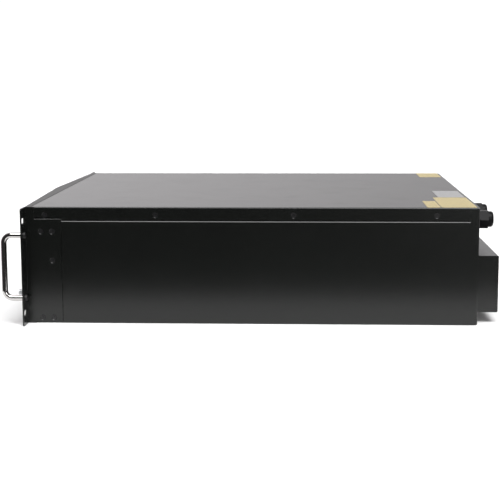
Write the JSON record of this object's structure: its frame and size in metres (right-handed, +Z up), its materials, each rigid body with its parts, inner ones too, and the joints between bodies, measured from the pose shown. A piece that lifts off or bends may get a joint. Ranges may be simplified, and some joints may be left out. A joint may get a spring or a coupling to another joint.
{
  "type": "server rack battery",
  "caption": "Rack-mounted lithium battery: black folded steel chassis with rack ears, chrome handles, a prow-shaped front panel and a rear housing below cable glands.",
  "frame": {"origin": "bottom centre of the whole object's box, on the surface that it stands on", "axes": "+X from the front panel to the rear, +Y to the left as seen from the front, +Z up"},
  "size_m": [0.5597, 0.4826, 0.1326],
  "materials": {
    "chassis_paint": "black fine-texture powder coat",
    "chrome_rod": "bright chrome plate",
    "black_screw": "black oxide",
    "cell_can": "blue insulating film over an aluminium can",
    "insulator": "matt fibre sheet",
    "zinc_steel": "bright zinc plate",
    "busbar_metal": "bare rolled bar",
    "copper_bar": "bare copper bar",
    "circuit_board": "green solder mask",
    "heatsink_metal": "plain extruded",
    "breaker_case": "light grey moulding",
    "black_plastic": "fine moulded texture",
    "red_plastic": "fine moulded texture",
    "white_plastic": "fine moulded texture",
    "stud_brass": "bright turned",
    "port_shield": "tinned sheet",
    "smoked_window": "smoked acrylic",
    "led_lens": "clear diffused",
    "button_metal": "satin",
    "gland_nylon": "moulded nylon",
    "seal_rubber": "smooth moulded",
    "yellow_paper": "plain yellow label stock",
    "silver_paper": "plain silvery label stock"
  },
  "bodies": {
    "chassis": {"bms_board": "circuit_board", "bms_heatsink": "heatsink_metal", "breaker_body": "breaker_case", "cell_01": "cell_can", "cell_02": "cell_can", "cell_03": "cell_can", "cell_04": "cell_can", "cell_05": "cell_can", "cell_06": "cell_can", "cell_07": "cell_can", "cell_08": "cell_can", "cell_09": "cell_can", "cell_10": "cell_can", "cell_11": "cell_can", "cell_12": "cell_can", "cell_13": "cell_can", "cell_14": "cell_can", "cell_15": "cell_can", "cell_16": "cell_can", "cell_busbars": "busbar_metal", "cell_spacers": "insulator", "chassis_tray": "chassis_paint", "comm_ports": "port_shield", "control_board": "circuit_board", "countersunk_screws": "black_screw", "dip_switch": "red_plastic", "display_window": "smoked_window", "ear_bracket_left": "chassis_paint", "ear_bracket_right": "chassis_paint", "end_plates": "zinc_steel", "front_fascia": "chassis_paint", "front_subpanel": "zinc_steel", "gland_bodies": "gland_nylon", "gland_locknuts": "gland_nylon", "ground_stud": "zinc_steel", "handle_left": "chrome_rod", "handle_right": "chrome_rod", "main_busbars": "copper_bar", "pan_head_screws": "black_screw", "power_switch": "black_plastic", "rating_label": "silver_paper", "rear_box": "chassis_paint", "status_leds": "led_lens", "terminal_block_negative": "black_plastic", "terminal_block_positive": "red_plastic", "terminal_studs": "stud_brass", "top_cover": "chassis_paint", "top_insulation": "insulator", "warning_labels": "yellow_paper"},
    "breaker_lever": {"breaker_lever": "black_plastic"},
    "power_button": {"power_button": "button_metal"},
    "reset_button": {"reset_button": "white_plastic"},
    "dip_slider_1": {"dip_slider_1": "white_plastic"},
    "dip_slider_2": {"dip_slider_2": "white_plastic"},
    "dip_slider_3": {"dip_slider_3": "white_plastic"},
    "dip_slider_4": {"dip_slider_4": "white_plastic"},
    "gland_seal_right": {"gland_seal_right": "seal_rubber"},
    "gland_cap_right": {"gland_cap_right": "gland_nylon"},
    "gland_seal_left": {"gland_seal_left": "seal_rubber"},
    "gland_cap_left": {"gland_cap_left": "gland_nylon"}
  },
  "joints": [
    {"name": "breaker_lever_swing", "type": "hinge", "parent": "chassis", "child": "breaker_lever", "pos_m": [-0.25617, 0.096, 0.068], "axis": [0, 1, 0], "range_deg": [0, 76]},
    {"name": "power_button_press", "type": "slide", "parent": "chassis", "child": "power_button", "axis": [0.9993, 0.0366, 0], "range_m": [0, 0.002], "stiffness_N_per_m": 400, "springref_m": -0.002},
    {"name": "reset_button_press", "type": "slide", "parent": "chassis", "child": "reset_button", "axis": [1, 0, 0], "range_m": [0, 0.001], "stiffness_N_per_m": 500, "springref_m": -0.001},
    {"name": "dip_slider_1_slide", "type": "slide", "parent": "chassis", "child": "dip_slider_1", "axis": [0, 0, 1], "range_m": [0, 0.002]},
    {"name": "dip_slider_2_slide", "type": "slide", "parent": "chassis", "child": "dip_slider_2", "axis": [0, 0, 1], "range_m": [0, 0.002]},
    {"name": "dip_slider_3_slide", "type": "slide", "parent": "chassis", "child": "dip_slider_3", "axis": [0, 0, 1], "range_m": [0, 0.002]},
    {"name": "dip_slider_4_slide", "type": "slide", "parent": "chassis", "child": "dip_slider_4", "axis": [0, 0, 1], "range_m": [0, 0.002]},
    {"name": "gland_right_travel", "type": "slide", "parent": "chassis", "child": "gland_seal_right", "axis": [1, 0, 0], "range_m": [0, 0.003]},
    {"name": "gland_right_turn", "type": "hinge", "parent": "gland_seal_right", "child": "gland_cap_right", "pos_m": [0.26795, -0.16, 0.1126], "axis": [1, 0, 0], "range_deg": [-0.05, 720.05]},
    {"name": "gland_left_travel", "type": "slide", "parent": "chassis", "child": "gland_seal_left", "axis": [1, 0, 0], "range_m": [-0.003, 0]},
    {"name": "gland_left_turn", "type": "hinge", "parent": "gland_seal_left", "child": "gland_cap_left", "pos_m": [0.26795, -0.085, 0.1126], "axis": [1, 0, 0], "range_deg": [-720.05, 0.05]}
  ],
  "couplings": [
    {"joint": "gland_right_turn", "follows": "gland_right_travel", "rad_per_m": 4188.8},
    {"joint": "gland_left_turn", "follows": "gland_left_travel", "rad_per_m": 4188.8}
  ]
}
